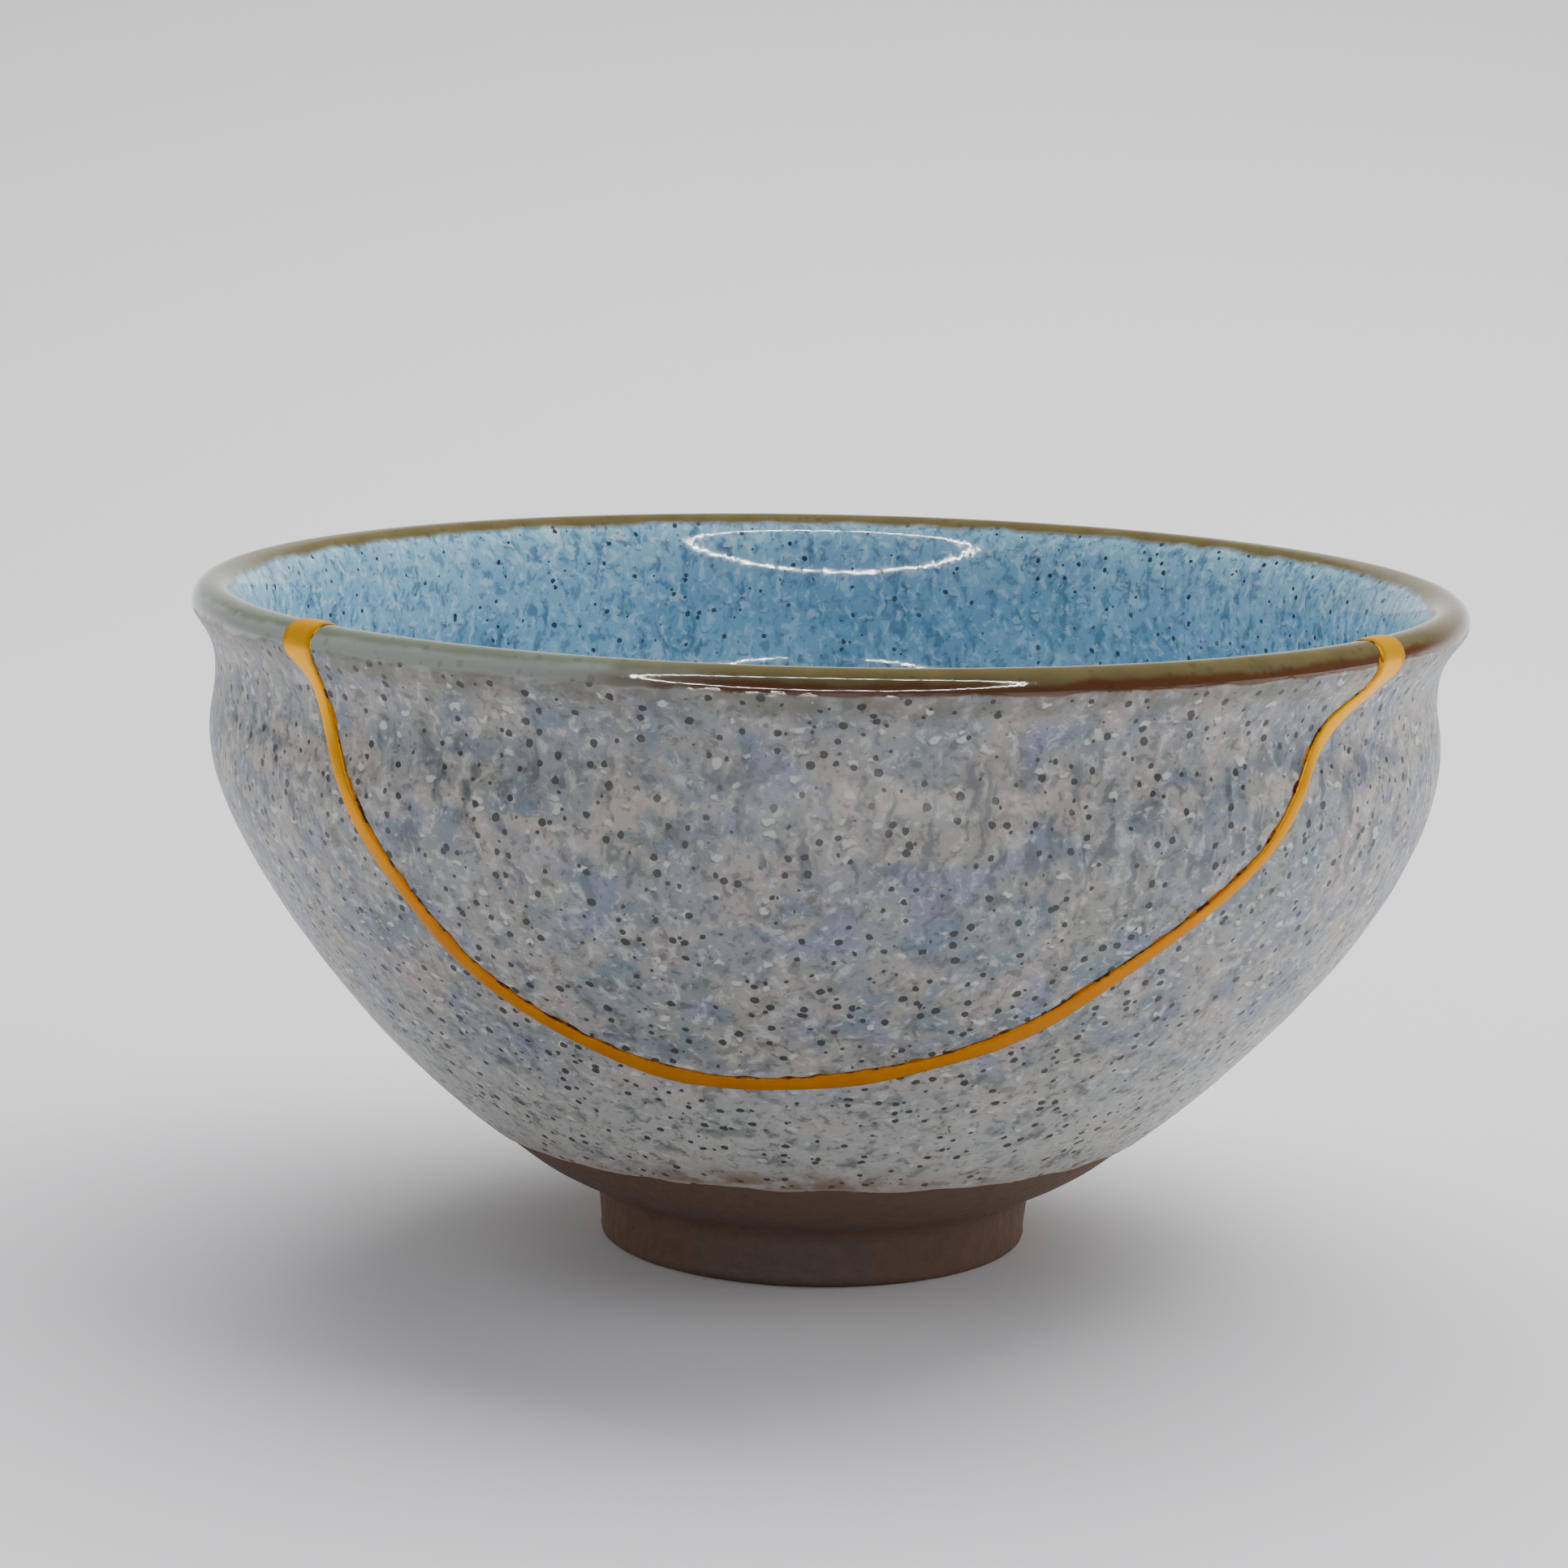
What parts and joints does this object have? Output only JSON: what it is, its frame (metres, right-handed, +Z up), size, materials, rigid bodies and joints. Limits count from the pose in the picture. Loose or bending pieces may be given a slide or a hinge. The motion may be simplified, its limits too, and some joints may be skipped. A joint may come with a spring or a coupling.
{
  "type": "kintsugi bowl",
  "caption": "Hand-thrown speckled stoneware tea bowl on a foot ring, its broken front wall joined again with a raised line of gold lacquer.",
  "frame": {"origin": "on the surface the foot ring stands on, under the middle of the rim", "axes": "+Z up, along the bowl's axis; -Y towards the mended sherd; +X to the right seen from that side"},
  "size_m": [0.13, 0.13, 0.069],
  "materials": {
    "speckled_glaze": "satin speckled stoneware glaze, glossy blue inside, bare dark clay at the foot",
    "gold_lacquer": "satin gold powder on lacquer"
  },
  "bodies": {
    "root": {"bowl_body": "speckled_glaze", "mended_sherd": "speckled_glaze", "gold_seam": "gold_lacquer"}
  },
  "joints": []
}
